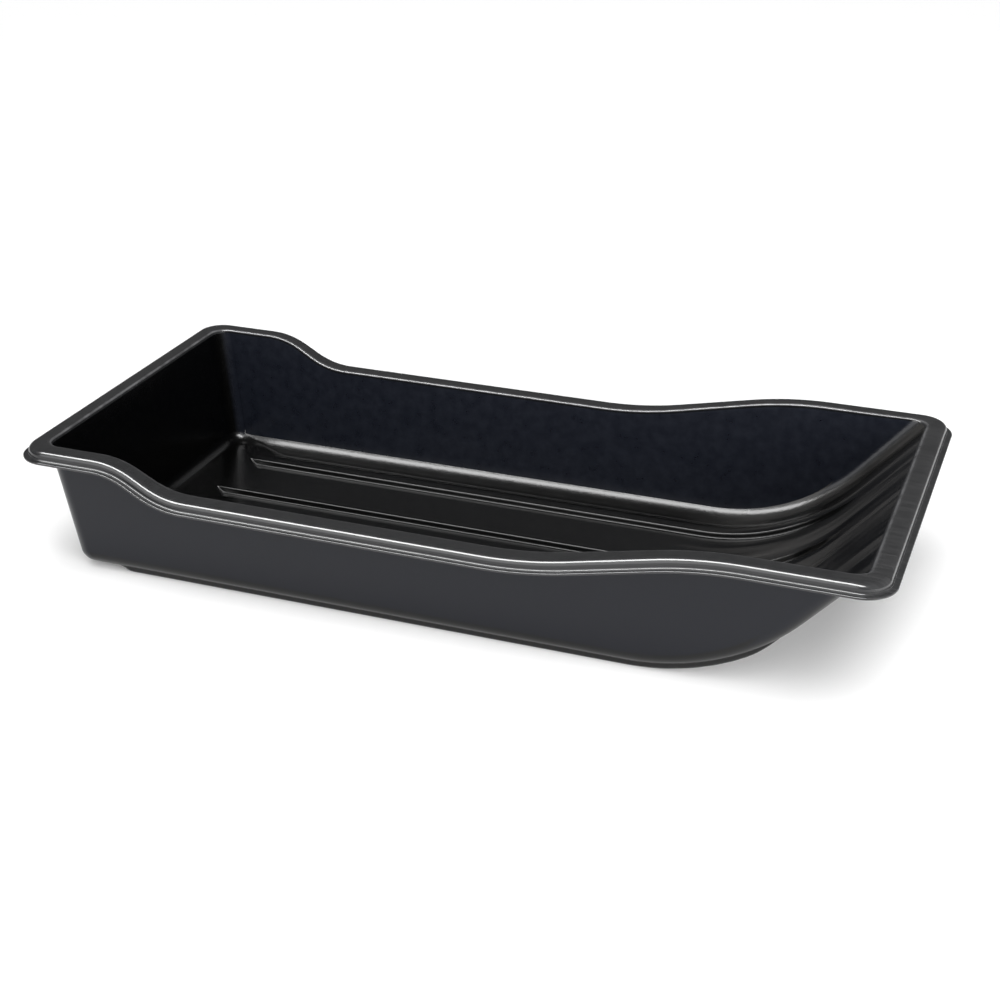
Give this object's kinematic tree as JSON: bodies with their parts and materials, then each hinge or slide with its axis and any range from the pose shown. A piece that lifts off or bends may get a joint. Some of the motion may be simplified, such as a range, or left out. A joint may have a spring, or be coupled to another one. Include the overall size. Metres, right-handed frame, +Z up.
{
  "type": "sport sled",
  "caption": "Plastic sport sled: open tub with a rolled rim, low middle sides, a bow ramp and runners formed along its bottom.",
  "frame": {"origin": "centre of the sled's footprint on the ground plane under its runners", "axes": "+X towards the bow, +Y to port, +Z up"},
  "size_m": [1.372, 0.64, 0.2285],
  "materials": {
    "black_plastic": "semi-matt black polyethylene, lightly grained"
  },
  "bodies": {
    "root": {"floor_pan": "black_plastic", "bow_ramp": "black_plastic", "stern_wall": "black_plastic", "port_wall": "black_plastic", "starboard_wall": "black_plastic", "stern_chine": "black_plastic", "stern_rim": "black_plastic", "bow_rim": "black_plastic", "port_rim": "black_plastic", "starboard_rim": "black_plastic", "port_side_chine": "black_plastic", "port_bow_chine": "black_plastic", "starboard_side_chine": "black_plastic", "starboard_bow_chine": "black_plastic", "port_inner_runner_run": "black_plastic", "port_inner_runner_nose": "black_plastic", "port_outer_runner_run": "black_plastic", "port_outer_runner_nose": "black_plastic", "port_chine_runner_run": "black_plastic", "port_chine_runner_nose": "black_plastic", "starboard_inner_runner_run": "black_plastic", "starboard_inner_runner_nose": "black_plastic", "starboard_outer_runner_run": "black_plastic", "starboard_outer_runner_nose": "black_plastic", "starboard_chine_runner_run": "black_plastic", "starboard_chine_runner_nose": "black_plastic"}
  },
  "joints": []
}
